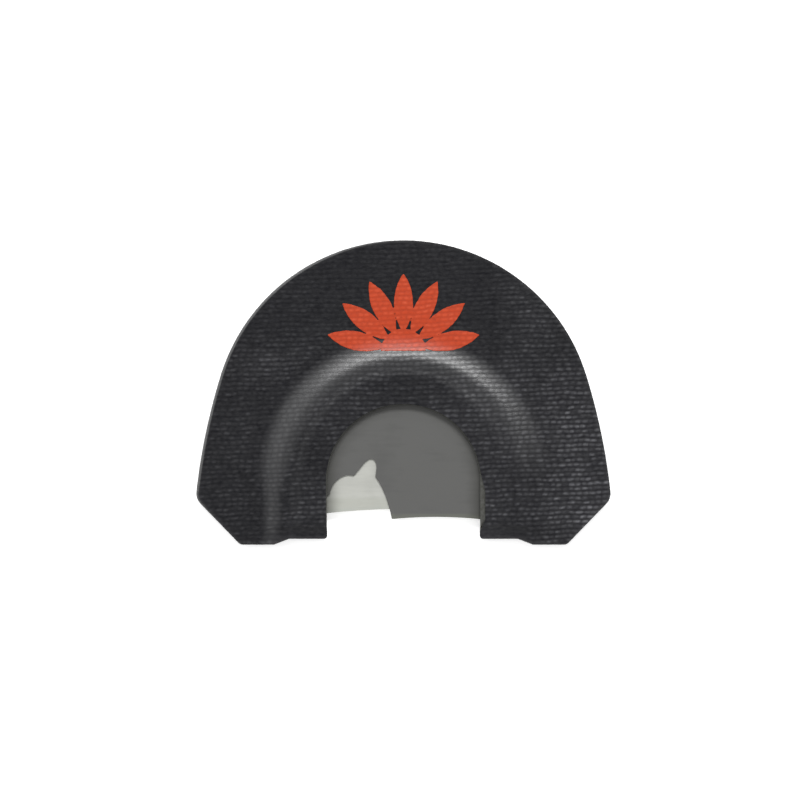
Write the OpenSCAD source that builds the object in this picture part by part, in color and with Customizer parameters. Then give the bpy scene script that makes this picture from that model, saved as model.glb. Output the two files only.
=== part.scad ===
// Diaphragm mouth call: a folded aluminium horseshoe frame clamps three stacked latex
// reeds, and two layers of black cloth tape close over it and form the skirt.
// Sizes are in millimetres. +X is to the caller's right, +Y to the closed end of the
// horseshoe, +Z up. The origin is the centre of the underside of the bounding box.
// Inside the modules, y is counted from the skirt's front edge and z from the plane
// where the two tapes meet; placed() moves a finished piece to the part's own frame.

/* [Tape] */
// Width of the skirt over its two flared corners
skirt_w = 50; // [49:0.5:53]
// Depth of the skirt from its front edge to the top of the dome
skirt_depth = 36.9; // [36.5:0.1:39]
// Radius of the skirt's rear dome
dome_r = 23.1; // [22.5:0.1:23.5]
// Radius of the slightly bowed sides of the skirt
side_r = 75; // [70:5:90]
// Height above the front edge of the flared corners' centres
corner_y = 6.2; // [6:0.1:7.5]
// Radius of the flared corners
corner_r = 1.8; // [1:0.1:2.5]
// Direction the front bevels face, in degrees below the X axis
bevel_dir = 44.2; // [38:0.2:46]
// Thickness of one layer of tape
tape_t = 0.35; // [0.25:0.05:0.4]
// Radius of the window cut in the tape
tape_window_r = 9.35; // [9.3:0.05:9.5]
// How far the right side of the upper tape's window stands back
window_flare = 0.5; // [0:0.1:0.6]

/* [Frame] */
// Radius of the window inside the horseshoe
window_r = 9.25; // [9.1:0.05:9.4]
// Distance from the skirt's front edge to the centre of the window's arc
window_y = 7.6; // [7.4:0.1:8]
// Outer radius of the horseshoe
frame_r = 15.9; // [15.5:0.1:16]
// Thickness of the frame's sheet
plate_t = 0.55; // [0.5:0.05:0.6]
// Width of the fold that joins the two plates at the rear
fold_w = 12; // [8:1:16]

/* [Reeds] */
// Thickness of one reed
reed_t = 0.1; // [0.08:0.01:0.12]
// Thickness of one spacer
spacer_t = 0.08; // [0.05:0.01:0.1]
// Radius of the reeds' clamped rim
reed_r = 12.3; // [11.5:0.1:12.4]
// Middle of the top reed's free edge, from the skirt's front edge
top_edge_y = 3.34; // [3:0.02:3.6]
// Middle of the middle reed's free edge
middle_edge_y = 4.3; // [4:0.1:4.8]
// Middle of the bottom reed's free edge
bottom_edge_y = 5.75; // [5.5:0.05:6.2]

/* [Emblem] */
// Length of the longest leaf of the printed fan
leaf_len = 9.4; // [8:0.1:9.6]
// Height of the foot of the fan above the front edge
emblem_y = 23.4; // [23:0.1:24.5]

/* [Hidden] */
$fn = 96;

tape_black = [0.07, 0.07, 0.075];
aluminium_grey = [0.75, 0.76, 0.78];
latex_grey = [0.3, 0.3, 0.3];
latex_cream = [0.86, 0.86, 0.8];
spacer_amber = [0.85, 0.7, 0.45];
ink_orange = [0.75, 0.14, 0.05];

// One point of a drawn arc every so many degrees
arc_step = 3;
// Overshoot of cutting shapes past the faces they cut
over = 1;
// Half extent of the sheets that the outline is cut from
sheet = 40;

// Heights above the plane where the tapes meet
stack_h = (3 * reed_t + 2 * spacer_t) / 2;
clamp_h = stack_h + plate_t;
rim_h = plate_t;
mid_z = clamp_h + tape_t;

// Both plates step down behind the reeds until they touch
joggle_0 = [reed_r + 0.2, clamp_h];
joggle_1 = [reed_r + 1.4, rim_h];
// The tape bridges that step a little further out
bridge = [0.08, 0];
// The tape falls from the frame's rim to the skirt
fall_0 = [frame_r - 1.5, rim_h + tape_t];
fall_1 = [frame_r + 2.2, tape_t];
// The pressed bevel round the rim of the frame
bevel_h = 0.6 * rim_h;
// The tape closes over the ends of the arms between these distances from the front
wrap_back = 3;
wrap_front = 1.1;
arm_end = wrap_front + 1.15;
arm_end_h = 0.54 * clamp_h;
arm_corner_r = 2;
// The tape's window closes in to the arms between these distances from the front
close_y = [1.6, 3];
arm_in_x = window_r - 0.05;
// The flare runs out between here and this angle on the window's arc
flare_y = 6.5;
flare_dir = 8;
// The two plates touch but are joined only at the fold
seam = 0.04;
// Round dents that lock the two plates of the frame together
pit_r = 0.28;
pit_floor_r = 0.17;
pit_depth = 0.12;
pit_y = arm_end + 2.6;
// The spacers stand back a little from the window and from the arms' ends
spacer_gap = 0.2;
spacer_front = arm_end + 0.3;

// The front edge of the skirt steps back in front of the arms
notch_x = [13.8, 15.6];
notch_y = 0.7;
front_r = 0.8;
notch_r = 0.4;

// Radii of the free edges' bows and the middle of each bow
top_bow_r = 54;
top_bow_x = 3.9;
middle_bow_r = 84;
bottom_bow_r = 140;
// The cut in the top reed starts just in front of its free edge
top_cut_x = -1.4;
top_cut_y = top_edge_y - 0.3;

leaf_count = 7;
leaf_w = 2.3;
leaf_foot = 2.2;
leaf_fan = 156;
foot_r = 2.7;
ink_t = 0.04;

// ---- Curves -------------------------------------------------------------------

function tail(v) = [for (i = [1 : len(v) - 1]) v[i]];
function reversed(v) = [for (i = [len(v) - 1 : -1 : 0]) v[i]];
function flip_x(v) = [for (p = v) [-p.x, p.y]];
function flip_y(v) = [for (p = v) [p.x, -p.y]];

// Points on an arc about c from angle a0 to a1
function arc(c, r, a0, a1) =
    let (n = max(2, ceil(abs(a1 - a0) / arc_step)))
    [for (i = [0 : n]) c + r * [cos(a0 + (a1 - a0) * i / n), sin(a0 + (a1 - a0) * i / n)]];

// Points on a Bezier curve with two handles, without its first point
function curve(a, b, c, d, n = 10) =
    [for (i = [1 : n]) let (t = i / n, s = 1 - t)
        s * s * s * a + 3 * s * s * t * b + 3 * s * t * t * c + t * t * t * d];

// An S of two equal arcs that falls from p to q, moved off outwards
function s_fall(p, q, off) =
    let (a = 2 * atan((p.y - q.y) / (q.x - p.x)), r = (q.x - p.x) / 2 / sin(a))
    concat(arc([p.x, p.y - r], r + off, 90, 90 - a),
           tail(arc([q.x, q.y + r], r - off, 270 - a, 270)));

// ---- Outlines seen from above ---------------------------------------------------

// Right half of the skirt from the top of the dome to the notch in front of the arm
function skirt_half() =
    let (dome = [0, skirt_depth - dome_r],
         corner = [skirt_w / 2 - corner_r, corner_y],
         gap = corner - dome,
         reach = side_r - dome_r,
         turn = acos((gap * gap + reach * reach - pow(side_r - corner_r, 2))
                     / (2 * norm(gap) * reach)),
         heading = atan2(gap.y, gap.x) - turn,
         side = dome + reach * [cos(heading), sin(heading)],
         corner_a = atan2(corner.y - side.y, corner.x - side.x),
         n = [cos(bevel_dir), -sin(bevel_dir)],
         front = [(n * corner + corner_r - front_r - n.y * front_r) / n.x, front_r])
    concat(arc(dome, dome_r, 90, heading + 180),
           tail(arc(side, side_r, heading + 180, corner_a)),
           tail(arc(corner, corner_r, corner_a, -bevel_dir)),
           arc(front, front_r, -bevel_dir, -90),
           [[notch_x[1], 0], [notch_x[0], notch_y]]);

module skirt_outline() {
    half = skirt_half();
    polygon(concat(half, reversed(flip_x(tail(half)))));
}

// A horseshoe's inside: an arc about the window's centre, open to the front
module window_outline(r) {
    polygon(concat(arc([0, window_y], r, 0, 180), [[-r, -over], [r, -over]]));
}

// Right side of a tape's window, from the rear to its rounded mouth
function window_side(x) =
    concat([[x, flare_y], [x, close_y[1]], [arm_in_x, close_y[0]]],
           arc([arm_in_x + notch_r, notch_y + notch_r], notch_r, 180, 270),
           [[arm_in_x + notch_r, -over]]);

// The window cut in a tape, with its right side set back by flare
module tape_window(flare) {
    polygon(concat(arc([0, window_y], tape_window_r, flare_dir, 180),
                   flip_x(window_side(tape_window_r)),
                   reversed(window_side(tape_window_r + flare))));
}

// Points of a free edge bowed towards the rear, from x1 back to x0
function free_edge(x1, x0, bow_x, mid_y, bow_r) =
    arc([bow_x, mid_y - bow_r], bow_r, acos((x1 - bow_x) / bow_r), acos((x0 - bow_x) / bow_r));

// A clamped sheet whose front is the given list of points, from left to right
module sheet_outline(front) {
    polygon(concat(arc([0, window_y], reed_r, 0, 180), front));
}

// The piece cut out of the left of the top reed, with its narrow finger
module reed_cut_outline() {
    corner = [top_cut_x, top_cut_y];
    root = [-3.4, 8.2];
    tip = [-3.95, 10.35];
    notch = [-6, 8.3];
    wall = [-8.9, 6];
    outside = [-window_r - 0.2, 5.7];
    polygon(concat([corner],
                   curve(corner, [-1.8, 5.2], [-2.5, 7], root),
                   curve(root, [-3.15, 9.4], [-3.2, 10.4], tip),
                   curve(tip, [-4.6, 10.3], [-5.2, 9.1], notch),
                   curve(notch, [-7.2, 8.75], [-8.75, 7.6], wall),
                   [outside, [outside.x, 0], [top_cut_x, 0]]));
}

// One leaf of the fan: two arcs that meet in points
module leaf_outline(len) {
    r = (len * len + leaf_w * leaf_w) / (4 * leaf_w);
    a = asin(len / 2 / r);
    right = arc([leaf_w / 2 - r, len / 2], r, -a, a);
    polygon(concat(right, tail(reversed(tail(flip_x(right))))));
}

module emblem_outline() {
    translate([0, emblem_y]) {
        polygon(arc([0, 0], foot_r, 0, 180));
        for (i = [0 : leaf_count - 1])
            rotate((i / (leaf_count - 1) - 0.5) * leaf_fan)
                translate([0, leaf_foot])
                    leaf_outline(leaf_len - leaf_foot);
    }
}

// ---- Solids --------------------------------------------------------------------

// From y above the front edge and z above the tapes' plane to the part's own frame
module placed() {
    translate([0, -skirt_depth / 2, mid_z]) children();
}

// Sweeps a section round the window's arc and along both arms to the front
module horseshoe(section, y_end) {
    translate([0, window_y, 0]) {
        rotate_extrude(angle = 180) polygon(section);
        for (side = [0, 1])
            mirror([side, 0, 0])
                rotate([90, 0, 0]) linear_extrude(window_y - y_end) polygon(section);
    }
}

// Extrudes a shape drawn in y and z across the whole width
module across(points) {
    rotate([90, 0, 90]) translate([0, 0, -sheet]) linear_extrude(2 * sheet) polygon(points);
}

// Height of the tape over the frame, as a section away from the window's centre
function ridge_section(off, far, base) =
    concat([[window_r - over, base], [window_r - over, clamp_h + off]],
           s_fall(joggle_0 + bridge, joggle_1 + bridge, off),
           s_fall(fall_0, fall_1, off - tape_t),
           far);

// Height of the tape over the ends of the arms, as a section along y
function wrap_section(off, base) =
    concat([[window_y + over, base], [window_y + over, clamp_h + off]],
           flip_x(s_fall([-wrap_back, mid_z], [-wrap_front, tape_t], off - tape_t)),
           [[-over, off], [-over, base]]);

// Everything under the tape's outer surface (off = tape_t) or inner surface (off = 0)
module under_tape(off, far, base) {
    section = ridge_section(off, far, base);
    translate([0, window_y, 0]) rotate_extrude(angle = 180) polygon(section);
    intersection() {
        for (side = [0, 1])
            mirror([side, 0, 0])
                translate([0, window_y, 0])
                    rotate([90, 0, 0]) linear_extrude(window_y + over) polygon(section);
        across(wrap_section(off, base));
    }
}

module tape_body() {
    under_tape(tape_t, [[sheet, tape_t], [sheet, 0]], 0);
}

// The space that the frame and the reeds take up between the tapes
module frame_space() {
    intersection() {
        under_tape(0, [[fall_1.x, -over]], -over);
        translate([-sheet, arm_end, -2 * over]) cube([2 * sheet, sheet, mid_z + 2 * over]);
    }
}

module tape_layer(flare) {
    difference() {
        intersection() {
            tape_body();
            linear_extrude(mid_z + over) skirt_outline();
        }
        frame_space();
        translate([0, 0, -over]) linear_extrude(mid_z + 2 * over) tape_window(flare);
    }
}

// A sheet of the reed stack with its underside at height z
module stack_sheet(z, t) {
    translate([0, 0, z]) linear_extrude(t) children();
}

// A horseshoe strip that keeps two reeds apart along their clamped rims
module spacer_outline() {
    difference() {
        sheet_outline([[-reed_r, spacer_front], [reed_r, spacer_front]]);
        window_outline(window_r + spacer_gap);
    }
}

// Section of the folded frame: two plates that clamp the reeds and touch at the rim
function frame_section() =
    let (top = concat([[window_r, clamp_h]], s_fall(joggle_0, joggle_1, 0),
                      [[fall_0.x, rim_h], [frame_r, bevel_h]]),
         pocket = concat([[window_r, stack_h]], s_fall(joggle_0, joggle_1, -plate_t)))
    concat(top, reversed(flip_y(top)), flip_y(pocket), tail(reversed(pocket)));

// Section along the arms: their ends are pressed to a bevel
function arm_end_section() =
    let (upper = [[arm_end, arm_end_h], [wrap_back, clamp_h], [wrap_back, clamp_h + over],
                  [sheet, clamp_h + over]])
    concat(upper, reversed(flip_y(upper)));

// Rounded corners of the arms' ends
module arm_plan() {
    corner = [frame_r - arm_corner_r, arm_end + arm_corner_r];
    right = concat([[frame_r + over, sheet], [frame_r + over, corner.y]],
                   arc(corner, arm_corner_r, 0, -90));
    polygon(concat(right, reversed(flip_x(right))));
}

// The slit between the plates, everywhere but at the fold
module seam_slit() {
    difference() {
        translate([-sheet / 2, 0, -seam / 2]) cube([sheet, sheet, seam]);
        translate([-fold_w / 2, window_y + window_r, -seam]) cube([fold_w, sheet, 2 * seam]);
    }
}

// A round dent that opens upwards
module pit() {
    slope = (pit_r - pit_floor_r) / pit_depth;
    h = pit_depth + over;
    translate([0, 0, rim_h - pit_depth])
        cylinder(h = h, r1 = pit_floor_r, r2 = pit_floor_r + slope * h);
}

// Locking dents on both faces: on the arms and round the rear
module locking_pits() {
    pit_x = (joggle_1.x + fall_0.x) / 2;
    for (face = [0, 1])
        mirror([0, 0, face]) {
            for (side = [-1, 1], y = [pit_y, window_y])
                translate([side * pit_x, y, 0]) pit();
            for (a = [45, 135])
                translate([pit_x * cos(a), window_y + pit_x * sin(a), 0]) pit();
        }
}

// ---- Pieces --------------------------------------------------------------------

module frame() {
    color(aluminium_grey) placed() difference() {
        intersection() {
            horseshoe(frame_section(), 0);
            across(arm_end_section());
            translate([0, 0, -mid_z]) linear_extrude(2 * mid_z) arm_plan();
        }
        seam_slit();
        locking_pits();
    }
}

module bottom_reed() {
    color(latex_cream) placed() stack_sheet(-stack_h, reed_t)
        sheet_outline(reversed(free_edge(reed_r, -reed_r, 0, bottom_edge_y, bottom_bow_r)));
}

module lower_spacer() {
    color(spacer_amber) placed() stack_sheet(-stack_h + reed_t, spacer_t) spacer_outline();
}

module middle_reed() {
    color(latex_cream) placed() stack_sheet(-reed_t / 2, reed_t)
        sheet_outline(reversed(free_edge(reed_r, -reed_r, 0, middle_edge_y, middle_bow_r)));
}

module upper_spacer() {
    color(spacer_amber) placed() stack_sheet(reed_t / 2, spacer_t) spacer_outline();
}

module top_reed() {
    edge = free_edge(reed_r, top_cut_x, top_bow_x, top_edge_y, top_bow_r);
    color(latex_grey) placed() stack_sheet(stack_h - reed_t, reed_t) difference() {
        sheet_outline(concat([[-reed_r, top_cut_y]], reversed(edge)));
        reed_cut_outline();
    }
}

module lower_tape() {
    color(tape_black) placed() mirror([0, 0, 1]) tape_layer(0);
}

module upper_tape() {
    color(tape_black) placed() tape_layer(window_flare);
}

module printed_emblem() {
    skin = concat(s_fall(fall_0, fall_1, 0), [[sheet, tape_t]]);
    film = concat([for (p = skin) p + [0, ink_t]], reversed(skin));
    color(ink_orange) placed() intersection() {
        translate([0, window_y, 0]) rotate_extrude(angle = 180) polygon(film);
        linear_extrude(mid_z + over) emblem_outline();
    }
}

frame();
bottom_reed();
lower_spacer();
middle_reed();
upper_spacer();
top_reed();
lower_tape();
upper_tape();
printed_emblem();
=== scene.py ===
"""The looks of the diaphragm mouth call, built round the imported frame.

Shapes are worked out in millimetres in the call's own terms, as in the CAD source: x to the
right, y from the skirt's front edge, z from the plane where the two tapes meet. place() turns
them into the frame's metres.
"""

import math

import bpy
import numpy as np
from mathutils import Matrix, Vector


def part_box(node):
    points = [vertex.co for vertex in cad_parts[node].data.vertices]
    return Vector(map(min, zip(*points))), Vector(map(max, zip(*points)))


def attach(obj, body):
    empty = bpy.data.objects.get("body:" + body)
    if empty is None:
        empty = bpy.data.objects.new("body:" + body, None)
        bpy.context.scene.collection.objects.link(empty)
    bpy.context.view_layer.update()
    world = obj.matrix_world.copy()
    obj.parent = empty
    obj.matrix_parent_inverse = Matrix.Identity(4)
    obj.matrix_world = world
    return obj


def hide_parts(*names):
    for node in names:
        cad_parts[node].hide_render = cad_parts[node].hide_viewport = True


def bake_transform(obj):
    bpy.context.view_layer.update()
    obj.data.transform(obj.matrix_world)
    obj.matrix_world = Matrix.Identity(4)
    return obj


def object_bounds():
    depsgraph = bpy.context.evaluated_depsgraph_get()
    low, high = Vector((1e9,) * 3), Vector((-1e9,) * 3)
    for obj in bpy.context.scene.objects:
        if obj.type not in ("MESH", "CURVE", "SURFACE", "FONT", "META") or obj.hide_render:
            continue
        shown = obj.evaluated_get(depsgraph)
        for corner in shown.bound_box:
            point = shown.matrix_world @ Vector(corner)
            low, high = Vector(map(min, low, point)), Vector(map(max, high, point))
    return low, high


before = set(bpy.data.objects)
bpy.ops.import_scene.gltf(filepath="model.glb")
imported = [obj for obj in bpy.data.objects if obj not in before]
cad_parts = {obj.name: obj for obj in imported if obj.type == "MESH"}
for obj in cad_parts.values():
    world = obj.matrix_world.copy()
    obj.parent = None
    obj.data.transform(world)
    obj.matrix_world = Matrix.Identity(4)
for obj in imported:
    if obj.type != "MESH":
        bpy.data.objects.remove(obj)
cad_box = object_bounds()

# ---- Sizes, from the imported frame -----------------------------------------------

MM = 0.001
tape_lo, tape_hi = (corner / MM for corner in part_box("upper_tape"))
reed_lo, reed_hi = (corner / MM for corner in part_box("top_reed"))
metal_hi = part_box("frame")[1] / MM
SKIRT_W = tape_hi.x - tape_lo.x
SKIRT_DEPTH = tape_hi.y - tape_lo.y
FRONT = tape_lo.y
MID_Z = tape_lo.z
RIDGE_H = tape_hi.z - MID_Z
CLAMP_H = metal_hi.z - MID_Z
TAPE_T = RIDGE_H - CLAMP_H
FRAME_R = metal_hi.x
WINDOW_Y = metal_hi.y - FRAME_R - FRONT
REED_R = reed_hi.x
REED_T = reed_hi.z - reed_lo.z
STACK_H = reed_hi.z - MID_Z
PLATE_T = CLAMP_H - STACK_H

# The skirt's outline, as in the CAD source: dome, bowed sides, flared corners, bevels, notches
DOME_R = 23.1
SIDE_R = 75.0
CORNER_Y = 6.2
CORNER_R = 1.8
BEVEL_DIR = 44.2
FRONT_R = 0.8
NOTCH_IN = (13.8, 0.7)
NOTCH_OUT = (15.6, 0.0)

# The frame's window and the windows cut in the tapes, as in the CAD source
WINDOW_R = 9.25
TAPE_WINDOW_R = 9.35
WINDOW_FLARE = 0.5
FLARE_Y = 6.5
FLARE_DIR = 8
CLOSE_Y = (1.6, 3.0)
ARM_IN_X = WINDOW_R - 0.05
NOTCH_R = 0.4
OVERSHOOT_Y = -2.0

# The slopes of the tape: where each starts, is steepest and ends
JOGGLE = (REED_R + 0.28, REED_R + 0.88, REED_R + 1.48)
RIM_FALL = (FRAME_R - 1.5, FRAME_R - 0.4, FRAME_R + 2.2)
WRAP = (-3.0, -2.05, -1.1)
ARM_END = 2.25
TAPE_GAP = 0.002

# The cloth: pitch of its rows and dashes, height of its threads, its sag and its waviness
ROW = 0.58
DASH = 0.8
ROW_TILT = math.radians(2)
THREAD_H = 0.034
SAG_H = 0.02
WAVE_H = 0.16

# The glossy band over the frame's rim: its middle, and how far from it the gloss is full and
# gone. Along the arms it lies further out and is narrower.
RIM_CREST = FRAME_R - 0.4
RIM_GLOSS = (0.6, 2.5)
ARM_CREST_SHIFT = 0.3
ARM_GLOSS = (0.2, 1.5)


# ---- Noise and curves -------------------------------------------------------------

def soft_noise(x, y, cell, seed):
    """Smooth values from -1 to 1 that change over about one cell."""
    size = 64
    lattice = np.random.default_rng(seed).uniform(-1, 1, (size, size))
    u, v = x / cell + 1000.0, y / cell + 1000.0
    i, j = np.floor(u).astype(int), np.floor(v).astype(int)
    s, t = u - i, v - j
    s, t = s * s * (3 - 2 * s), t * t * (3 - 2 * t)
    i, j, i1, j1 = i % size, j % size, (i + 1) % size, (j + 1) % size
    low = lattice[j, i] * (1 - s) + lattice[j, i1] * s
    high = lattice[j1, i] * (1 - s) + lattice[j1, i1] * s
    return low * (1 - t) + high * t


def cell_value(i, j, seed):
    """A value from -1 to 1 for each whole-numbered cell."""
    lattice = np.random.default_rng(seed).uniform(-1, 1, (256, 256))
    return lattice[i.astype(int) % 256, j.astype(int) % 256]


def smoothstep(low, high, value):
    t = np.clip((value - low) / (high - low), 0, 1)
    return t * t * (3 - 2 * t)


def arc(centre, radius, start, end, step=2.0):
    """Points on an arc, with its angles in degrees."""
    count = max(2, math.ceil(abs(end - start) / step))
    angles = np.radians(np.linspace(start, end, count + 1))
    return [(centre[0] + radius * math.cos(a), centre[1] + radius * math.sin(a)) for a in angles]


def bezier(a, b, c, d, count=12):
    """Points on a Bezier curve with two handles, without its first point."""
    a, b, c, d = (np.array(p, float) for p in (a, b, c, d))
    curve = []
    for t in np.linspace(0, 1, count + 1)[1:]:
        s = 1 - t
        curve.append(tuple(s ** 3 * a + 3 * s * s * t * b + 3 * s * t * t * c + t ** 3 * d))
    return curve


# ---- Outlines ---------------------------------------------------------------------

def skirt_outline():
    """The die-cut outline of both tapes: dome, bowed sides, flared corners and bevels."""
    dome = np.array((0.0, SKIRT_DEPTH - DOME_R))
    corner = np.array((SKIRT_W / 2 - CORNER_R, CORNER_Y))
    gap = corner - dome
    reach = SIDE_R - DOME_R
    turn = math.acos((gap @ gap + reach ** 2 - (SIDE_R - CORNER_R) ** 2)
                     / (2 * np.linalg.norm(gap) * reach))
    heading = math.atan2(gap[1], gap[0]) - turn
    side = dome + reach * np.array((math.cos(heading), math.sin(heading)))
    meet = math.degrees(heading) + 180
    corner_a = math.degrees(math.atan2(corner[1] - side[1], corner[0] - side[0]))
    n = np.array((math.cos(math.radians(BEVEL_DIR)), -math.sin(math.radians(BEVEL_DIR))))
    front_x = (n @ corner + CORNER_R - FRONT_R - n[1] * FRONT_R) / n[0]
    half = (arc(dome, DOME_R, 90, meet) + arc(side, SIDE_R, meet, corner_a, 0.5)[1:]
            + arc(corner, CORNER_R, corner_a, -BEVEL_DIR, 8)[1:]
            + arc((front_x, FRONT_R), FRONT_R, -BEVEL_DIR, -90, 8) + [NOTCH_OUT, NOTCH_IN])
    return np.array(half + [(-x, y) for x, y in reversed(half[1:])])


def window_side(x):
    """Right side of a tape's window, from the rear to its rounded mouth."""
    mouth = arc((ARM_IN_X + NOTCH_R, NOTCH_IN[1] + NOTCH_R), NOTCH_R, 180, 270, 15)
    sides = [(x, FLARE_Y), (x, CLOSE_Y[1]), (ARM_IN_X, CLOSE_Y[0])]
    return sides + mouth + [(mouth[-1][0], OVERSHOOT_Y)]


def window_outline(flare):
    """The window cut in a tape, with its right side set back by flare."""
    rear = arc((0.0, WINDOW_Y), TAPE_WINDOW_R, FLARE_DIR, 180)
    left = [(-x, y) for x, y in window_side(TAPE_WINDOW_R)]
    return np.array(rear + left + window_side(TAPE_WINDOW_R + flare)[::-1])


def free_edge(right, left, bow_x, mid_y, bow_r):
    """A reed's free edge, bowed to the rear, from left to right."""
    ends = [math.degrees(math.acos((x - bow_x) / bow_r)) for x in (left, right)]
    return arc((bow_x, mid_y - bow_r), bow_r, ends[0], ends[1], 0.6)


def reed_outline(front):
    return np.array(arc((0, WINDOW_Y), REED_R, 0, 180) + front)


# Each reed's free edge: the middle of its bow, and the bow's radius
TOP_EDGE_Y, TOP_BOW_X, TOP_BOW_R = 3.34, 3.9, 54.0
MIDDLE_EDGE_Y, MIDDLE_BOW_R = 4.3, 84.0
BOTTOM_EDGE_Y, BOTTOM_BOW_R = 5.75, 140.0
# The cut in the top reed starts just in front of its free edge
TOP_CUT = (-1.4, TOP_EDGE_Y - 0.3)


def reed_cut_outline():
    """The piece cut from the left of the top reed, with its narrow finger."""
    corner, outside = TOP_CUT, (-WINDOW_R - 0.2, 5.7)
    root, tip, notch, wall = (-3.4, 8.2), (-3.95, 10.35), (-6.0, 8.3), (-8.9, 6.0)
    points = [corner]
    points += bezier(corner, (-1.8, 5.2), (-2.5, 7.0), root)
    points += bezier(root, (-3.15, 9.4), (-3.2, 10.4), tip)
    points += bezier(tip, (-4.6, 10.3), (-5.2, 9.1), notch)
    points += bezier(notch, (-7.2, 8.75), (-8.75, 7.6), wall)
    return np.array(points + [outside, (outside[0], 0.0), (corner[0], 0.0)])


# The printed fan
FAN_Y = 23.4
LEAF_COUNT = 7
LEAF_LEN = 9.4
LEAF_FOOT = 2.2
LEAF_W = 2.3
LEAF_FAN = 156.0
FOOT_R = 2.7


def emblem_outlines():
    """Seven leaves fanned over a half disc."""
    length = LEAF_LEN - LEAF_FOOT
    radius = (length ** 2 + LEAF_W ** 2) / (4 * LEAF_W)
    reach = math.degrees(math.asin(length / 2 / radius))
    right = arc((LEAF_W / 2 - radius, LEAF_FOOT + length / 2), radius, -reach, reach, 4)
    leaf = np.array(right + [(-x, y) for x, y in reversed(right[1:-1])])
    shapes = [np.array(arc((0, 0), FOOT_R, 0, 180, 6))]
    for i in range(LEAF_COUNT):
        a = math.radians((i / (LEAF_COUNT - 1) - 0.5) * LEAF_FAN)
        spin = np.array(((math.cos(a), math.sin(a)), (-math.sin(a), math.cos(a))))
        shapes.append(leaf @ spin)
    return [shape + (0, FAN_Y) for shape in shapes]


def signed_distance(points, outline):
    """Distance to a closed outline, negative inside."""
    best = np.full(len(points), np.inf)
    inside = np.zeros(len(points), bool)
    x, y = points[:, 0], points[:, 1]
    for a, b in zip(outline, np.roll(outline, -1, axis=0)):
        ab = b - a
        length2 = ab @ ab
        if length2 < 1e-12:
            continue
        t = np.clip(((x - a[0]) * ab[0] + (y - a[1]) * ab[1]) / length2, 0, 1)
        best = np.minimum(best, (x - a[0] - t * ab[0]) ** 2 + (y - a[1] - t * ab[1]) ** 2)
        if a[1] != b[1]:
            spans = (a[1] > y) != (b[1] > y)
            inside ^= spans & (x < a[0] + (y - a[1]) * ab[0] / ab[1])
    return np.where(inside, -1, 1) * np.sqrt(best)


# ---- The cloth's surface ----------------------------------------------------------

def fall(distance, start, middle, end, high, low):
    """Height of an S of two arcs that falls from high at start, steepest at middle, to low at end."""
    turn = 2 * math.atan((high - low) / (end - start))
    first, second = (middle - start) / math.sin(turn), (end - middle) / math.sin(turn)
    near = np.clip(distance - start, 0, middle - start)
    far = np.clip(end - distance, 0, end - middle)
    upper = high - first + np.sqrt(first ** 2 - near ** 2)
    lower = low + second - np.sqrt(second ** 2 - far ** 2)
    return np.where(distance < middle, upper, lower)


def from_window(x, y):
    """Distance from the window's centre line: radial behind it, sideways along the arms."""
    return np.where(y > WINDOW_Y, np.hypot(x, y - WINDOW_Y), np.abs(x))


def tape_surface(x, y):
    """Height of a tape's outer surface, without its weave."""
    r = from_window(x, y)
    step = fall(r, *JOGGLE, RIDGE_H, PLATE_T + TAPE_T)
    rim = fall(r, *RIM_FALL, PLATE_T + TAPE_T, TAPE_T)
    ridge = np.where(r < RIM_FALL[0], step, rim)
    return np.minimum(ridge, fall(-y, *WRAP, RIDGE_H, TAPE_T))


def weave(x, y, seed):
    """Height of the threads from 0 to 1, and how bright the painted glint on each float is."""
    drift = (0.35 * soft_noise(x, y, 7.0, seed) + 0.14 * soft_noise(x, y, 1.8, seed + 1)
             + 0.10 * soft_noise(x, y, 0.6, seed + 6))
    v = (y - x * math.tan(ROW_TILT)) / ROW + drift
    row = np.floor(v)
    across = np.sin(np.pi * (v - row))
    shift = (0.5 * cell_value(row, row * 0, seed + 2) + 0.35 * soft_noise(x, y, 2.5, seed + 3)
             + 0.22 * soft_noise(x, row * 5.3, 1.1, seed + 7))
    u = x / DASH + 0.5 * (row % 2) + shift
    dash = np.floor(u)
    along = np.sin(np.pi * (u - dash))
    chance = 0.5 + 0.5 * cell_value(row, dash, seed + 4)
    broken = 0.65 + 0.35 * soft_noise(x, y, 0.22, seed + 8)
    height = across * (0.22 + 0.38 * along + 0.25 * chance * along + 0.15 * broken)
    return np.clip(height, 0, 1), across ** 4 * along ** 0.7 * chance ** 1.3 * broken


def wave(x, y):
    """The skirt's gentle waviness, clear of the frame and its arms."""
    behind = smoothstep(17.5, 22.0, np.hypot(x, y - WINDOW_Y))
    beside = smoothstep(16.5, 19.0, from_window(x, y))
    return WAVE_H * behind * beside * soft_noise(x, y, 8.0, 5)


def on_rim(x, y):
    """1 where the cloth is stretched smooth and glossy over the frame's rim."""
    arms = smoothstep(11.0, 5.0, y)
    away = np.abs(from_window(x, y) - RIM_CREST - ARM_CREST_SHIFT * arms)
    full, plain = (rear + arms * (arm - rear) for rear, arm in zip(RIM_GLOSS, ARM_GLOSS))
    return smoothstep(plain, full, away)


def pressed(x):
    """How far the left of the rim is pressed flatter than its right."""
    return smoothstep(2.0, -12.0, x)


def on_ends(x, y):
    """1 where the cloth folds down over the ends of the arms."""
    return smoothstep(3.0, 1.6, y) * smoothstep(17.0, 13.5, np.abs(x))


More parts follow.
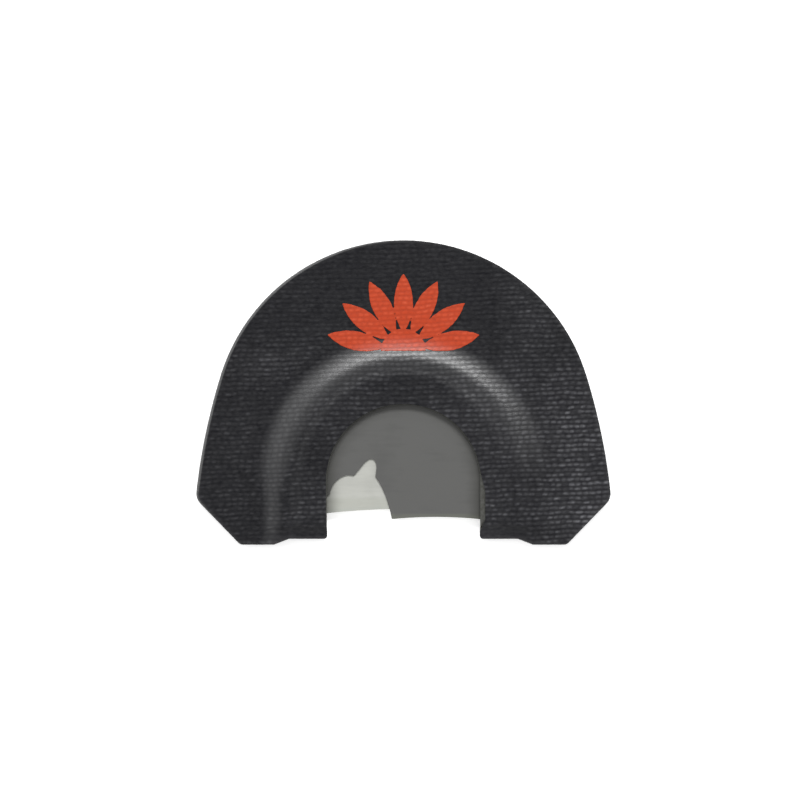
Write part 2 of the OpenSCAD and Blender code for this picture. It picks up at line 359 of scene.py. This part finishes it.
def cloth_height(x, y, seed):
    """Height of a tape's outer surface with its threads, which lie flatter where it is stretched."""
    sag = SAG_H * (soft_noise(x, y, 6.0, seed + 5) - 1)
    smooth = np.maximum((0.5 + 0.3 * pressed(x)) * on_rim(x, y), 0.9 * on_ends(x, y))
    depth = THREAD_H * (1 - smooth) * (0.5 + 0.5 * np.maximum(contrast(x, y), on_rim(x, y)))
    return tape_surface(x, y) + sag - depth * (1 - weave(x, y, seed)[0])


def underside(x, y):
    """Where a tape's inner face lies: on the frame, or on the other tape."""
    on_frame = smoothstep(ARM_END - 0.25, ARM_END + 0.35, y)
    return np.maximum(tape_surface(x, y) - TAPE_T, 0) * on_frame + TAPE_GAP


# ---- Meshes from outlines ---------------------------------------------------------

def grid_patch(field, low, high, cell):
    """Cuts a grid along field's zero line. Returns its points, faces and outward rim edges."""
    xs = np.arange(low[0], high[0] + cell[0], cell[0])
    ys = np.arange(low[1], high[1] + cell[1], cell[1])
    gx, gy = np.meshgrid(xs, ys)
    d = field(np.column_stack((gx.ravel(), gy.ravel()))).reshape(gx.shape)
    # grid points close to the line move onto it, so that no sliver is left
    slope_y, slope_x = np.gradient(d, cell[1], cell[0])
    steep = np.maximum(slope_x ** 2 + slope_y ** 2, 0.25)
    close = np.abs(d) < 0.3 * min(cell)
    gx = np.where(close, gx - d * slope_x / steep, gx)
    gy = np.where(close, gy - d * slope_y / steep, gy)
    d = np.where(close, 0.0, d)
    inside = d <= 0
    index = np.full(d.shape, -1)
    index[inside] = np.arange(inside.sum())
    points = list(map(tuple, np.column_stack((gx[inside], gy[inside]))))
    count = inside[:-1, :-1].astype(int) + inside[:-1, 1:] + inside[1:, 1:] + inside[1:, :-1]
    j, i = np.nonzero(count == 4)
    faces = np.column_stack((index[j, i], index[j, i + 1], index[j + 1, i + 1],
                             index[j + 1, i])).tolist()
    crossings = {}
    for j, i in zip(*np.nonzero((count > 0) & (count < 4))):
        ring = ((j, i), (j, i + 1), (j + 1, i + 1), (j + 1, i))
        face = []
        for a, b in zip(ring, ring[1:] + ring[:1]):
            if inside[a]:
                face.append(int(index[a]))
            if d[a] * d[b] < 0:
                key = (a, b) if a < b else (b, a)
                if key not in crossings:
                    t = d[a] / (d[a] - d[b])
                    crossings[key] = len(points)
                    points.append((gx[a] + t * (gx[b] - gx[a]), gy[a] + t * (gy[b] - gy[a])))
                face.append(crossings[key])
        if len(face) > 2:
            faces.append(face)
    edges = {(a, b) for face in faces for a, b in zip(face, face[1:] + face[:1])}
    rim = sorted((a, b) for a, b in edges if (b, a) not in edges)
    return np.array(points), faces, rim


def place(points):
    """Millimetres in the call's terms to metres in the frame."""
    return (np.asarray(points) + (0.0, FRONT, MID_Z)) * MM


def make_object(name, points, faces, sharp, flip=False):
    """A smooth-shaded mesh object with the given edges kept sharp."""
    mesh = bpy.data.meshes.new(name)
    if flip:
        points = points * (1, 1, -1)
        faces = [face[::-1] for face in faces]
    mesh.from_pydata(place(points).tolist(), [], faces)
    mesh.update()
    mesh.shade_smooth()
    wanted = {tuple(sorted(edge)) for edge in sharp}
    flags = [tuple(sorted(edge.vertices)) in wanted for edge in mesh.edges]
    mesh.edges.foreach_set("use_edge_sharp", flags)
    piece = bpy.data.objects.new(name, mesh)
    bpy.context.scene.collection.objects.link(piece)
    return piece


def add_attribute(piece, name, values):
    attribute = piece.data.attributes.new(name, "FLOAT", "POINT")
    attribute.data.foreach_set("value", np.asarray(values, np.float32))


def rim_points(rim):
    """The points on a rim, each once."""
    return sorted({point for edge in rim for point in edge})


def add_walls(points, faces, rim, rings):
    """Hangs rings of points below the rim, each with one point per rim point.

    Returns all points and faces, and the edges along the rim and along each ring."""
    ids = rim_points(rim)
    slot = {point: k for k, point in enumerate(ids)}
    levels = [ids]
    for k in range(len(rings)):
        start = len(points) + k * len(ids)
        levels.append(range(start, start + len(ids)))
    loops = [[(level[slot[a]], level[slot[b]]) for a, b in rim] for level in levels]
    for upper, lower in zip(loops, loops[1:]):
        faces += [[b, a, c, d] for (a, b), (c, d) in zip(upper, lower)]
    return np.vstack([points] + rings), faces, loops


# ---- Materials --------------------------------------------------------------------

class Shader:
    """A node material on a Principled BSDF, with short calls for the nodes used here."""

    def __init__(self, name):
        self.material = bpy.data.materials.new(name)
        self.material.use_nodes = True
        self.nodes = self.material.node_tree.nodes
        self.links = self.material.node_tree.links
        self.bsdf = self.nodes["Principled BSDF"]
        coordinates = self.nodes.new("ShaderNodeTexCoord")
        self.millimetres = self.scaled(coordinates.outputs["Object"], (1 / MM,) * 3)

    def feed(self, socket, value):
        if isinstance(value, bpy.types.NodeSocket):
            self.links.new(value, socket)
        elif value is not None:
            socket.default_value = value

    def scaled(self, vector, scale):
        mapping = self.nodes.new("ShaderNodeMapping")
        mapping.inputs["Scale"].default_value = scale
        self.links.new(vector, mapping.inputs["Vector"])
        return mapping.outputs["Vector"]

    def noise(self, scale, stretch=(1, 1, 1), detail=3.0, rough=0.5):
        texture = self.nodes.new("ShaderNodeTexNoise")
        self.feed(texture.inputs["Vector"], self.scaled(self.millimetres, stretch))
        texture.inputs["Scale"].default_value = scale
        texture.inputs["Detail"].default_value = detail
        texture.inputs["Roughness"].default_value = rough
        return texture.outputs["Fac"]

    def attribute(self, name):
        node = self.nodes.new("ShaderNodeAttribute")
        node.attribute_name = name
        return node.outputs["Fac"]

    def combine(self, operation, a, b):
        node = self.nodes.new("ShaderNodeMath")
        node.operation = operation
        self.feed(node.inputs[0], a)
        self.feed(node.inputs[1], b)
        return node.outputs[0]

    def remap(self, value, low, high, to_low, to_high):
        node = self.nodes.new("ShaderNodeMapRange")
        for key, entry in zip(("Value", "From Min", "From Max", "To Min", "To Max"),
                              (value, low, high, to_low, to_high)):
            self.feed(node.inputs[key], entry)
        return node.outputs["Result"]

    def mix(self, factor, a, b):
        node = self.nodes.new("ShaderNodeMix")
        node.data_type = "RGBA"
        for key, entry in zip((0, 6, 7), (factor, a, b)):
            if isinstance(entry, tuple) and len(entry) == 3:
                entry = entry + (1.0,)
            self.feed(node.inputs[key], entry)
        return node.outputs[2]

    def mix_value(self, factor, a, b):
        node = self.nodes.new("ShaderNodeMix")
        for key, entry in zip((0, 2, 3), (factor, a, b)):
            self.feed(node.inputs[key], entry)
        return node.outputs[0]

    def bump(self, height, depth, normal=None):
        """Bump of a stated depth in millimetres."""
        node = self.nodes.new("ShaderNodeBump")
        node.inputs["Strength"].default_value = 1.0
        node.inputs["Distance"].default_value = depth * MM
        self.feed(node.inputs["Height"], height)
        self.feed(node.inputs["Normal"], normal)
        return node.outputs["Normal"]

    def finish(self, **inputs):
        for key, value in inputs.items():
            if isinstance(value, tuple) and len(value) == 3:
                value = value + (1.0,)
            self.feed(self.bsdf.inputs[key.replace("_", " ")], value)
        return self.material


# Colours, as linear light
GAP_PAINTED_SHADE = (0.0015, 0.0015, 0.0025)
THREAD_BLACK = (0.0235, 0.0235, 0.0270)
PAINTED_GLINT_GREY = (0.140, 0.140, 0.152)
CUT_GREY = (0.14, 0.14, 0.14)
ADHESIVE = (0.075, 0.075, 0.058)
INK_THIN = (0.12, 0.018, 0.008)
INK_ORANGE = (0.500, 0.049, 0.0105)
INK_PAINTED_GLINT = (0.75, 0.20, 0.11)
REED_GREY = (0.091, 0.091, 0.0880)
REED_GREY_CUT = (0.112, 0.116, 0.100)
REED_CREAM = (0.397, 0.404, 0.366)
REED_CREAM_LAYERED = (0.428, 0.432, 0.400)
REED_CREAM_CUT = (0.39, 0.40, 0.365)
REED_PAINTED_SHADE = (0.028, 0.028, 0.019)
SHEET_DARK = (0.42, 0.42, 0.43)
SHEET_LIGHT = (0.62, 0.63, 0.64)
OLD_ADHESIVE = (0.030, 0.030, 0.022)
AMBER_DARK = (0.50, 0.34, 0.14)
AMBER_LIGHT = (0.72, 0.52, 0.26)


def cloth_material():
    """Black woven cloth tape: glossy thread tops, dull gaps, paler where it is cut. Its colour
    carries painted shade between the threads, painted glints on the floats and painted sheen.
    """
    s = Shader("cloth_tape")
    thread, float_glint, gloss, painted_sheen_and_contrast = (s.attribute(name)
                                  for name in ("thread", "float_glint", "gloss", "painted_sheen_and_contrast"))
    fibres = s.noise(3.2, (0.6, 3.0, 1.0), 4.0, 0.6)
    specks = s.noise(1.9, (0.8, 1.6, 1.0), 3.0, 0.6)
    patches = s.noise(0.25, (1, 1, 1), 2.0)
    # painted shade: the cloth is darker where its threads lie low, in the gaps between them
    tone = s.combine("MULTIPLY", s.remap(thread, 0.1, 0.85, 0.40, 1.0),
                     s.remap(fibres, 0.25, 0.75, 0.7, 1.3))
    tone = s.combine("MULTIPLY", tone, s.remap(patches, 0.3, 0.7, 0.8, 1.2))
    # painted sheen and shade: the cloth is lighter where the sheen map is high and darker where it is
    # low
    tone = s.combine("MULTIPLY", tone, s.remap(painted_sheen_and_contrast, 0.2, 1.0, 0.45, 1.0))
    dark = s.mix(tone, GAP_PAINTED_SHADE, THREAD_BLACK)
    # painted glints: lighter grey on the thread floats
    glint = s.combine("MULTIPLY", s.combine("MULTIPLY", float_glint, painted_sheen_and_contrast),
                      s.remap(fibres, 0.3, 0.7, 0.5, 1.3))
    lit = s.mix(glint, dark, PAINTED_GLINT_GREY)
    cut = s.combine("MULTIPLY", s.attribute("cut"), s.remap(fibres, 0.3, 0.7, 0.6, 1.0))
    colour = s.mix(cut, lit, CUT_GREY)
    colour = s.mix(s.attribute("glue"), colour, ADHESIVE)
    rough = s.mix_value(gloss, s.remap(thread, 0.1, 0.9, 0.60, 0.44), 0.34)
    rough = s.combine("ADD", rough, s.remap(fibres, 0.2, 0.8, -0.04, 0.06))
    shine = s.combine("MULTIPLY", s.remap(thread, 0.1, 0.8, 0.14, 0.23),
                      s.remap(specks, 0.3, 0.7, 0.45, 1.55))
    shine = s.combine("MULTIPLY", shine, s.remap(painted_sheen_and_contrast, 0.0, 0.9, 0.72, 1.25))
    shine = s.mix_value(gloss, shine, s.remap(thread, 0.15, 0.8, 0.52, 1.02))
    return s.finish(Base_Color=colour, Roughness=rough, Normal=s.bump(fibres, 0.012),
                    Specular_IOR_Level=shine)


def ink_material():
    """Orange-red ink that follows the threads and thins between them, with painted glints on the
    floats.
    """
    s = Shader("ink_orange")
    thread, float_glint, gloss = (s.attribute(name) for name in ("thread", "float_glint", "gloss"))
    fibres = s.noise(3.2, (0.6, 3.0, 1.0), 4.0, 0.6)
    specks = s.noise(2.2, (1, 1, 1), 3.0, 0.6)
    cover = s.combine("MULTIPLY", s.remap(thread, 0.0, 0.8, 0.40, 1.0),
                      s.remap(fibres, 0.25, 0.75, 0.85, 1.1))
    cover = s.combine("MULTIPLY", cover, s.remap(specks, 0.28, 0.42, 0.75, 1.0))
    colour = s.mix(cover, INK_THIN, INK_ORANGE)
    # painted glints: paler orange on the thread floats
    colour = s.mix(s.combine("MULTIPLY", float_glint, 0.25), colour, INK_PAINTED_GLINT)
    rough = s.mix_value(gloss, s.remap(fibres, 0.2, 0.8, 0.50, 0.62), 0.42)
    return s.finish(Base_Color=colour, Roughness=rough, Normal=s.bump(fibres, 0.012),
                    Specular_IOR_Level=s.mix_value(gloss, 0.2, 0.5))


def latex_material(name, colour, layered, edge, rough):
    """Thin satin latex: faint clouds and streaks, with painted shade that makes it duller and darker
    close to the frame.
    """
    s = Shader(name)
    clouds = s.noise(0.22, (1, 1, 1), 3.0)
    streaks = s.noise(0.9, (0.3, 2.2, 1.0), 3.0)
    grain = s.noise(9.0, (1, 1, 1), 2.0)
    shade = s.mix(s.attribute("layer"), colour, layered)
    shade = s.mix(s.attribute("cut"), shade, edge)
    tone = s.combine("MULTIPLY", s.remap(clouds, 0.3, 0.7, 0.91, 1.09),
                     s.remap(streaks, 0.3, 0.7, 0.95, 1.05))
    # painted shade: darker and tinted near the window's wall
    wall = s.attribute("wall")
    tone = s.combine("MULTIPLY", tone, s.remap(wall, 0.0, 1.0, 1.0, 0.62))
    tinted = s.mix(tone, (0.0, 0.0, 0.0), shade)
    body = s.mix(s.combine("MULTIPLY", wall, 0.35), tinted, REED_PAINTED_SHADE)
    normal = s.bump(grain, 0.004, s.bump(clouds, 0.05))
    return s.finish(Base_Color=body, Roughness=s.remap(streaks, 0.2, 0.8, rough, rough + 0.12),
                    Normal=normal, Specular_IOR_Level=0.35)


def metal_material():
    """Dull stamped sheet with drawing lines, stained by the tape's adhesive all over, with spots of
    barer metal.
    """
    s = Shader("frame_aluminium")
    lines = s.noise(2.0, (0.3, 9.0, 1.0), 4.0, 0.65)
    spots = s.noise(1.6, (1, 1, 1), 4.0, 0.7)
    glue = s.remap(spots, 0.30, 0.68, 1.0, 0.87)
    bare = s.mix(lines, SHEET_DARK, SHEET_LIGHT)
    colour = s.mix(glue, bare, OLD_ADHESIVE)
    return s.finish(Base_Color=colour, Metallic=s.remap(glue, 0.82, 1.0, 0.6, 0.1),
                    Roughness=s.remap(lines, 0.2, 0.8, 0.35, 0.55), Normal=s.bump(lines, 0.01))


def spacer_material():
    """Thin amber film with fine scratches."""
    s = Shader("spacer_film")
    haze = s.noise(0.8, (1, 1, 1), 4.0)
    scratches = s.noise(1.5, (0.4, 6.0, 1.0), 3.0)
    colour = s.mix(haze, AMBER_DARK, AMBER_LIGHT)
    return s.finish(Base_Color=colour, Roughness=s.remap(scratches, 0.2, 0.8, 0.25, 0.5),
                    Normal=s.bump(scratches, 0.01))


def floor_material():
    s = Shader("floor")
    tint = s.mix(s.noise(0.01), (0.93, 0.93, 0.93), (0.95, 0.95, 0.95))
    return s.finish(Base_Color=tint, Roughness=0.9, Specular_IOR_Level=0.1,
                    Emission_Color=(1.0, 1.0, 1.0), Emission_Strength=0.5)


def wear(piece, material):
    piece.data.materials.clear()
    piece.data.materials.append(material)


# ---- The tapes --------------------------------------------------------------------

SKIRT = skirt_outline()
MARGIN = 0.5
LIP = 0.8
# shares of the cut's width and of its depth, ring by ring down the wall
WALL_RINGS = ((0.25, 0.12), (0.75, 0.55), (1.0, 0.9), (1.0, 1.0))
# how pale the cloth is on the rings, and on the one under the edge
WALL_CUT = (0.75, 1.0, 0.9, 0.8, 0.2)
FRAY = 0.02
RAGGED = 0.015
PROBE = 0.02
PLAIN_THREAD = 0.6


def left_rear(x, y):
    return smoothstep(6.0, -14.0, x) * smoothstep(2.0, 8.0, y)


def rim_width(x, y):
    """The cut slants on the left and rear left."""
    return 0.06 + 0.30 * left_rear(x, y)


def contrast(x, y):
    """How much the threads stand out, and how much painted sheen lightens the cloth's colour: most at
    the front right, least behind the print.
    """
    right = 1.1 * smoothstep(-8.0, 26.0, x) * (1 - 0.55 * smoothstep(13.0, 22.0, y))
    ring = smoothstep(15.5, 13.5, from_window(x, y))
    behind = smoothstep(20.0, 27.0, y) * smoothstep(17.0, 8.0, np.abs(x))
    right_arm = smoothstep(12.0, 7.0, y) * np.exp(-((x - 14.5) / 3) ** 2)
    right_flare = smoothstep(18.0, 23.0, x) * smoothstep(14.0, 8.0, y)
    # a patch of painted sheen on the left shoulder
    left_shoulder_sheen = np.exp(-((x + 17) / 4.5) ** 2 - ((y - 22) / 2.5) ** 2)
    painted_sheen_and_contrast = (0.24 + 0.80 * right * (1 - 0.4 * ring) + 0.22 * ring) * (1 - 0.8 * behind)
    painted_sheen_and_contrast = painted_sheen_and_contrast * (1 - 0.45 * right_arm) + 0.7 * left_shoulder_sheen + 0.25 * right_flare
    patchy = 0.8 + 0.4 * soft_noise(x, y, 5.0, 21)
    return np.clip(painted_sheen_and_contrast * patchy, 0, 1.2)


def cut_distance(points, window):
    """Distance to the nearer cut edge of a tape, negative in the cloth."""
    return np.maximum(signed_distance(points, SKIRT), -signed_distance(points, window))


def top_distance(points, window):
    """Distance to the edge of a tape's top face, which stands in from a slanting cut."""
    x, y = points[:, 0], points[:, 1]
    fray = FRAY * soft_noise(x, y, 0.35, 40)
    skirt = signed_distance(points, SKIRT) + rim_width(x, y) + fray
    return np.maximum(skirt, -signed_distance(points, window) + fray)


def wall_rings(edge, top, window, seed):
    """Rings of points down a tape's cut edge, and one a little way under it."""
    here = cut_distance(edge, window)
    out = np.column_stack([cut_distance(edge + np.array(axis) * PROBE, window) - here
                           for axis in ((1, 0), (0, 1))]) / PROBE
    out /= np.maximum(np.linalg.norm(out, axis=1), 0.3)[:, None]
    foot = edge - here[:, None] * out
    base = underside(edge[:, 0], edge[:, 1])
    rings = []
    for share, drop in WALL_RINGS:
        spread = edge + share * (foot - edge)
        if drop < 1:
            ragged = RAGGED * soft_noise(edge[:, 0] + 9 * drop, edge[:, 1], 0.25, seed + 7)
            spread = spread + ragged[:, None] * out
        rings.append(np.column_stack((spread, top + drop * (base - top))))
    inner = foot - LIP * out
    rings.append(np.column_stack((inner, underside(inner[:, 0], inner[:, 1]))))
    return rings


def add_cloth_attributes(piece, x, y, seed):
    """What the cloth and ink materials read: threads, painted glints on the floats, thread contrast
    with painted sheen, and gloss.
    """
    threads, float_glints = weave(x, y, seed)
    painted_sheen_and_contrast = contrast(x, y)
    clear = np.maximum(0.4 + 0.6 * np.minimum(painted_sheen_and_contrast, 1), on_rim(x, y) * (1 - 0.7 * pressed(x)))
    clear = clear * (1 - 0.9 * on_ends(x, y))
    add_attribute(piece, "thread", PLAIN_THREAD + (threads - PLAIN_THREAD) * clear)
    add_attribute(piece, "float_glint", float_glints * (1 - on_ends(x, y)))
    add_attribute(piece, "painted_sheen_and_contrast", painted_sheen_and_contrast)
    least = 0.05 + 0.65 * smoothstep(5.0, -5.0, x)
    stretched = (least + (1 - least) * smoothstep(6.0, 17.0, y)) * (1 - on_ends(x, y))
    joggle = smoothstep(1.1, 0.1, np.abs(from_window(x, y) - JOGGLE[1] + 0.25))
    joggle = joggle * smoothstep(3.5, 8.5, np.abs(x))
    add_attribute(piece, "gloss", np.maximum(on_rim(x, y), 0.2 * joggle) * stretched)


def add_cut_attributes(piece, points, top_count, rim_count):
    """Paler cloth where the skirt is cut, most at the left and rear left, and glue beneath."""
    edge = np.abs(signed_distance(points[:, :2], SKIRT))
    pale = smoothstep(1.6, 0.0, edge - 0.2) * (0.3 + 0.7 * left_rear(points[:, 0], points[:, 1]))
    top = 0.3 * smoothstep(0.45, 0.15, edge[:top_count])
    add_attribute(piece, "cut", pale * np.concatenate((top, np.repeat(WALL_CUT, rim_count))))
    beneath = np.arange(len(points)) >= len(points) - 2 * rim_count
    add_attribute(piece, "glue", beneath)


def make_tape(name, node, seed, window, cell, flip):
    low = (-SKIRT_W / 2 - MARGIN, -MARGIN)
    high = (SKIRT_W / 2 + MARGIN, SKIRT_DEPTH + MARGIN)
    flat, faces, rim = grid_patch(lambda p: top_distance(p, window), low, high, cell)
    top = np.column_stack((flat, cloth_height(flat[:, 0], flat[:, 1], seed)))
    ids = rim_points(rim)
    rings = wall_rings(flat[ids], top[ids, 2], window, seed)
    points, faces, loops = add_walls(top, faces, rim, rings)
    x, y = points[:, 0], points[:, 1]
    points[:, 2] += wave(x, y) * (-1 if flip else 1)
    piece = make_object(name, points, faces, loops[0] + loops[-2], flip)
    add_cut_attributes(piece, points, len(top), len(ids))
    add_cloth_attributes(piece, x, y, seed)
    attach(piece, "call_body")
    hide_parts(node)
    return piece


# ---- The print --------------------------------------------------------------------

INK_T = 0.03
INK_FOOT = 0.01
BLEED = 0.04
CLOSE_MARGIN = 0.3


def make_emblem(seed):
    outlines = emblem_outlines()
    every = np.vstack(outlines)

    def field(points):
        bleed = BLEED * soft_noise(points[:, 0], points[:, 1], 0.4, 60)
        return np.min([signed_distance(points, o) for o in outlines], axis=0) + bleed

    flat, faces, rim = grid_patch(field, every.min(axis=0) - CLOSE_MARGIN,
                                  every.max(axis=0) + CLOSE_MARGIN, (DASH / 7, ROW / 7))
    height = cloth_height(flat[:, 0], flat[:, 1], seed) + INK_T
    top = np.column_stack((flat, height))
    foot = top[rim_points(rim)] - (0, 0, INK_T + INK_FOOT)
    points, faces, _ = add_walls(top, faces, rim, [foot])
    x, y = points[:, 0], points[:, 1]
    points[:, 2] += wave(x, y)
    piece = make_object("emblem_print", points, faces, [])
    add_cloth_attributes(piece, x, y, seed)
    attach(piece, "call_body")
    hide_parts("printed_emblem")
    return piece


# ---- The reeds --------------------------------------------------------------------

REED_CELL = (0.22, 0.22)
# The reed's grid reaches this far in front of its free edge
BOW_ROOM = 1.5
RIPPLE_H = 0.015
# past the rear of the call, for a reed with no other behind it
NOWHERE_Y = 40.0


def make_reed(name, node, field, front, layer_y, seed):
    """A reed that is paler at its cut edge, carries painted shade by the frame, and is layered behind
    layer_y.
    """
    low = (-REED_R - CLOSE_MARGIN, front - BOW_ROOM)
    high = (REED_R + CLOSE_MARGIN, WINDOW_Y + REED_R + CLOSE_MARGIN)
    flat, faces, rim = grid_patch(field, low, high, REED_CELL)
    x, y = flat[:, 0], flat[:, 1]
    out = from_window(x, y)
    middle = (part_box(node)[0].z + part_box(node)[1].z) / 2 / MM - MID_Z
    ripple = RIPPLE_H * smoothstep(WINDOW_R, WINDOW_R - 4, out) * soft_noise(x, y, 4.0, seed)
    top = np.column_stack((flat, middle + REED_T / 2 + ripple))
    count = len(flat)
    points = np.vstack((top, top - (0, 0, REED_T)))
    faces = faces + [[v + count for v in face[::-1]] for face in faces]
    faces += [[b, a, a + count, b + count] for a, b in rim]
    piece = make_object(name, points, faces, rim + [(a + count, b + count) for a, b in rim])

    cut = smoothstep(0.5, 0.2, y - front) * smoothstep(0.6, 0.3, np.abs(field(flat)))
    rear = smoothstep(WINDOW_Y - 2, WINDOW_Y + 8, y)
    # painted shade near the window's wall, weaker at the rear
    wall = smoothstep(-2.4, 0.3, out - WINDOW_R) ** 1.6 * (1 - 0.7 * rear)
    layer = smoothstep(layer_y - 0.15, layer_y + 0.15, y)
    for attribute, values in (("cut", cut), ("wall", wall), ("layer", layer)):
        add_attribute(piece, attribute, np.tile(values, 2))

    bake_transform(piece)
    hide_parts(node)
    return piece


def top_reed_field(points):
    edge = free_edge(REED_R, TOP_CUT[0], TOP_BOW_X, TOP_EDGE_Y, TOP_BOW_R)
    whole = reed_outline([(-REED_R, TOP_CUT[1])] + edge)
    return np.maximum(signed_distance(points, whole), -signed_distance(points, reed_cut_outline()))


def plain_reed_field(mid_y, bow_r):
    outline = reed_outline(free_edge(REED_R, -REED_R, 0.0, mid_y, bow_r))
    return lambda points: signed_distance(points, outline)


# ---- The whole call ---------------------------------------------------------------

UPPER_SEED = 11
LOWER_SEED = 31

cloth = cloth_material()
upper = make_tape("tape_upper", "upper_tape", UPPER_SEED,
                  window_outline(WINDOW_FLARE), (DASH / 5.2, ROW / 6), False)
wear(upper, cloth)
lower = make_tape("tape_lower", "lower_tape", LOWER_SEED,
                  window_outline(0.0), (DASH / 4.6, ROW / 5), True)
wear(lower, cloth)
wear(make_emblem(UPPER_SEED), ink_material())

grey = latex_material("latex_grey", REED_GREY, REED_GREY, REED_GREY_CUT, 0.5)
cream = latex_material("latex_cream", REED_CREAM, REED_CREAM_LAYERED, REED_CREAM_CUT, 0.45)
wear(make_reed("reed_top", "top_reed", top_reed_field, TOP_EDGE_Y,
               NOWHERE_Y, 71),
     grey)
wear(make_reed("reed_middle", "middle_reed",
               plain_reed_field(MIDDLE_EDGE_Y, MIDDLE_BOW_R), MIDDLE_EDGE_Y,
               BOTTOM_EDGE_Y - 0.1, 72),
     cream)
wear(make_reed("reed_bottom", "bottom_reed",
               plain_reed_field(BOTTOM_EDGE_Y, BOTTOM_BOW_R), BOTTOM_EDGE_Y, NOWHERE_Y, 73),
     cream)

for node, material in (("frame", metal_material()), ("lower_spacer", spacer_material()),
                       ("upper_spacer", spacer_material())):
    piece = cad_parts[node]
    piece.data.materials.clear()
    piece.data.materials.append(material)


# ---- Stage, lights and camera ------------------------------------------------------

FLOOR_SIZE = 3.0
FLOOR_GAP = 0.00005


def make_floor():
    size = FLOOR_SIZE
    mesh = bpy.data.meshes.new("floor")
    mesh.from_pydata([(-size, -size, 0), (size, -size, 0), (size, size, 0), (-size, size, 0)],
                     [], [(0, 1, 2, 3)])
    floor = bpy.data.objects.new("floor", mesh)
    floor.location.z = cad_box[0].z - FLOOR_GAP
    bpy.context.scene.collection.objects.link(floor)
    floor.data.materials.append(floor_material())


def make_light(name, azimuth, elevation, distance, size, power):
    """A soft panel aimed at the call. Azimuth 0 stands at the rear, 90 at the right."""
    data = bpy.data.lights.new(name, "AREA")
    data.shape = "RECTANGLE"
    data.size, data.size_y = size
    data.energy = power
    light = bpy.data.objects.new(name, data)
    a, e = math.radians(azimuth), math.radians(elevation)
    away = Vector((math.sin(a) * math.cos(e), math.cos(a) * math.cos(e), math.sin(e)))
    light.location = away * distance
    light.rotation_mode = "QUATERNION"
    light.rotation_quaternion = away.to_track_quat("Z", "Y")
    bpy.context.scene.collection.objects.link(light)


def make_world(strength):
    world = bpy.data.worlds.new("studio")
    world.use_nodes = True
    background = world.node_tree.nodes["Background"]
    background.inputs["Color"].default_value = (1.0, 1.0, 1.0, 1.0)
    background.inputs["Strength"].default_value = strength
    bpy.context.scene.world = world


CAMERA_ELEVATION = 86.5
LENS = 135.0
SENSOR = 36.0
# how much of the picture's width the skirt takes up
SHARE_OF_WIDTH = 0.517
# where the camera looks, in millimetres from the part's origin
AIM = (-0.42, -0.97)


def make_camera():
    data = bpy.data.cameras.new("camera")
    data.lens = LENS
    data.sensor_width = SENSOR
    data.clip_start, data.clip_end = 0.01, 20
    camera = bpy.data.objects.new("camera", data)
    bpy.context.scene.collection.objects.link(camera)
    distance = SKIRT_W * MM / SHARE_OF_WIDTH / SENSOR * LENS
    e = math.radians(CAMERA_ELEVATION)
    back = Vector((0, -math.cos(e), math.sin(e)))
    centre = Vector((AIM[0] * MM, AIM[1] * MM, MID_Z * MM))
    camera.location = centre + back * distance
    camera.rotation_mode = "QUATERNION"
    camera.rotation_quaternion = (-back).to_track_quat("-Z", "Y")
    bpy.context.scene.camera = camera


# azimuth, elevation, distance, size and power of each light
LIGHTS = {
    "key": (5, 51, 0.7, (0.56, 0.19), 4.15),
    "fill_left": (-80, 54, 0.6, (0.13, 0.13), 0.20),
    "front": (170, 40, 0.9, (0.6, 0.4), 1.5),
}
WORLD_STRENGTH = 0.54

make_floor()
make_world(WORLD_STRENGTH)
for light_name, placing in LIGHTS.items():
    make_light(light_name, *placing)
make_camera()
bpy.context.scene.view_settings.view_transform = "Standard"
